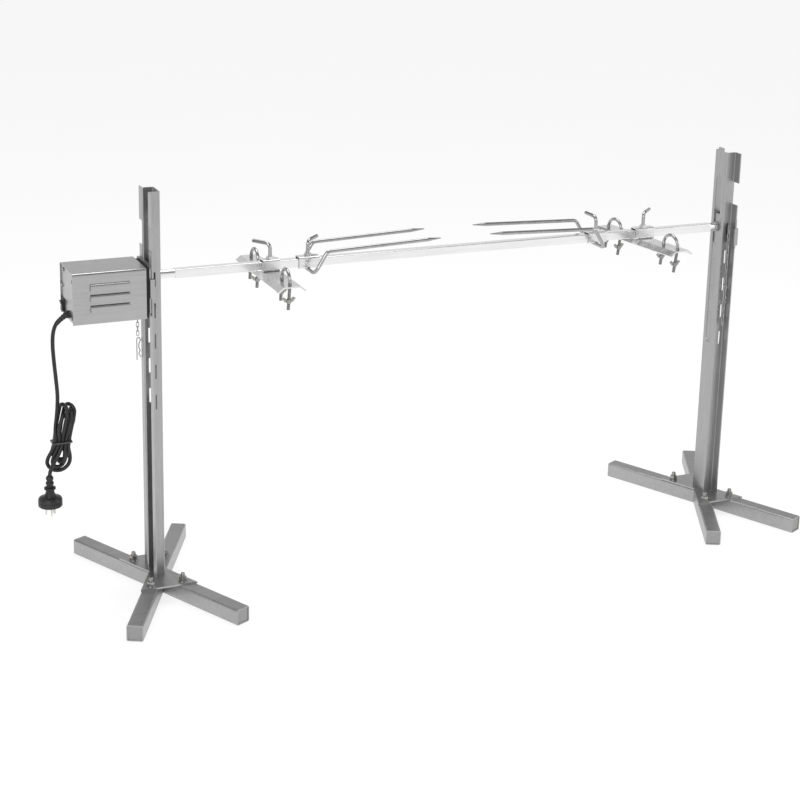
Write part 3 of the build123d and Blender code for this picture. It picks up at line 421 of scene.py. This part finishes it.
def makeCord():
    points = np.concatenate([np.array(cordHang), hankPoints(), np.array(cordTail)]) / 1000
    weighted = np.concatenate([points, np.ones((len(points), 1))], axis=1)
    curve = bpy.data.curves.new("mainsCord", "CURVE")
    curve.dimensions = "3D"
    spline = curve.splines.new("NURBS")
    spline.points.add(len(points) - 1)
    spline.points.foreach_set("co", weighted.ravel())
    spline.order_u = 3
    spline.use_endpoint_u = True
    spline.resolution_u = cordSize["smooth"]
    curve.bevel_depth = cordSize["diameter"] / 2
    curve.bevel_resolution = cordSize["round"]
    curve.materials.append(finishes["cordSheath"])
    cord = bpy.data.objects.new("mainsCord", curve)
    scene.collection.objects.link(cord)
    return cord


mainsCord = makeCord()
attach(mainsCord, "motor_unit")
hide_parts("cord", "cord_hank")
print("cord made")


def surface(name, grid, finish, body):
    # a grid of points, rows by columns; each row is a closed ring, and the first and last rows get caps
    rows, columns = grid.shape[:2]
    index = np.arange(rows * columns).reshape(rows, columns)
    after = np.roll(index, -1, axis=1)
    faces = np.stack([index[:-1], after[:-1], after[1:], index[1:]], axis=-1).reshape(-1, 4).tolist()
    faces += [index[0][::-1].tolist(), index[-1].tolist()]
    mesh = bpy.data.meshes.new(name)
    mesh.from_pydata(grid.reshape(-1, 3).tolist(), [], faces)
    mesh.polygons.foreach_set("use_smooth", [len(face) == 4 for face in faces])
    mesh.materials.append(finishes[finish])
    piece = bpy.data.objects.new(name, mesh)
    scene.collection.objects.link(piece)
    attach(piece, body)
    return piece


bootSize = {
    "start": 0.02,  # where it begins along the cord's first curve, from 0 to 1
    "rings": 61,
    "sides": 32,
    "wide": 0.0058,  # radius at the housing
    "narrow": 0.0041,  # radius at the free end
    "ribs": 5,
    "ribDepth": 0.0004,
}


def cordBoot():
    # rings square to the cord's first curve; radius = taper + a rib wave that dies away at both ends
    here = np.array(cordHang[:4]) / 1000
    t = np.linspace(bootSize["start"], 1.0, bootSize["rings"])[:, None]
    path = (1 - t) ** 2 * here[0] + 2 * t * (1 - t) * here[1] + t**2 * (here[2] + here[3]) / 2
    ahead = np.gradient(path, axis=0)
    ahead /= np.linalg.norm(ahead, axis=1)[:, None]
    side = np.array([0.0, 1.0, 0.0])
    side = side - ahead * (ahead @ side)[:, None]
    side /= np.linalg.norm(side, axis=1)[:, None]
    up = np.cross(ahead, side)
    s = np.linspace(0, 1, len(path))
    radius = bootSize["wide"] + (bootSize["narrow"] - bootSize["wide"]) * s
    radius = radius - bootSize["ribDepth"] * (1 - np.cos(2 * pi * bootSize["ribs"] * s)) * np.sin(pi * s)
    turn = np.linspace(0, 2 * pi, bootSize["sides"], endpoint=False)
    ring = np.cos(turn)[None, :, None] * side[:, None] + np.sin(turn)[None, :, None] * up[:, None]
    grid = path[:, None] + ring * radius[:, None, None]
    return surface("cordBoot", grid, "blackPlastic", "motor_unit")


cordBoot()
print("cord boot made")


studio = {
    # height, level
    "sky": ((0.0, 0.95), (0.14, 0.86), (0.36, 0.80), (0.50, 0.22), (0.74, 0.30), (1.0, 0.85)),
    "floorHalf": 30.0,
    "floorGlow": 0.78,
    # name, place, what it looks at, width, power
    "lamps": [
        ("keyLamp", (-1.8, -2.4, 2.4), (0.5, 0, 0.4), 1.6, 34.0),
        ("fillLamp", (2.9, -1.4, 1.7), (0.6, 0, 0.4), 1.2, 14.0),
        ("topLamp", (0.6, 0.6, 2.8), (0.6, 0, 0.3), 1.8, 26.0),
    ],
}


def makeStudio():
    world = bpy.data.worlds.new("studio")
    scene.world = world
    world.use_nodes = True
    tree = world.node_tree
    backdrop = tree.nodes["Background"]
    where = tree.nodes.new("ShaderNodeTexCoord")
    split = tree.nodes.new("ShaderNodeSeparateXYZ")
    ramp = tree.nodes.new("ShaderNodeValToRGB")
    tree.links.new(where.outputs["Generated"], split.inputs[0])
    tree.links.new(split.outputs[2], ramp.inputs[0])
    tree.links.new(ramp.outputs[0], backdrop.inputs["Color"])
    stops = ramp.color_ramp.elements
    for place, level in studio["sky"]:
        stop = stops[0] if place == 0.0 else stops[-1] if place == 1.0 else stops.new(place)
        stop.position = place
        stop.color = (level, level, level, 1.0)
    backdrop.inputs["Strength"].default_value = 1.0
    scene.view_settings.view_transform = "Standard"
    size = studio["floorHalf"]
    mesh = bpy.data.meshes.new("floor")
    corners = [(-size, -size, 0), (size, -size, 0), (size, size, 0), (-size, size, 0)]
    mesh.from_pydata(corners, [], [(0, 1, 2, 3)])
    floor = bpy.data.objects.new("floor", mesh)
    scene.collection.objects.link(floor)
    f = Finish("paleFloor")
    patch = f.noise(f.place(), 1.5, 3.0, 0.5)
    f.set(Base_Color=f.mix(patch, grey(0.28), grey(0.30)), Roughness=f.range(patch, 0.6, 0.7))
    f.set(Emission_Color=(1.0, 1.0, 1.0), Emission_Strength=studio["floorGlow"], Specular_IOR_Level=0.0)
    mesh.materials.append(f.material)
    for name, spot, target, width, power in studio["lamps"]:
        data = bpy.data.lights.new(name, "AREA")
        data.shape = "SQUARE"
        data.size = width
        data.energy = power
        lamp = bpy.data.objects.new(name, data)
        lamp.location = spot
        lamp.rotation_euler = (Vector(target) - Vector(spot)).to_track_quat("-Z", "Y").to_euler()
        scene.collection.objects.link(lamp)


makeStudio()
print("studio made")
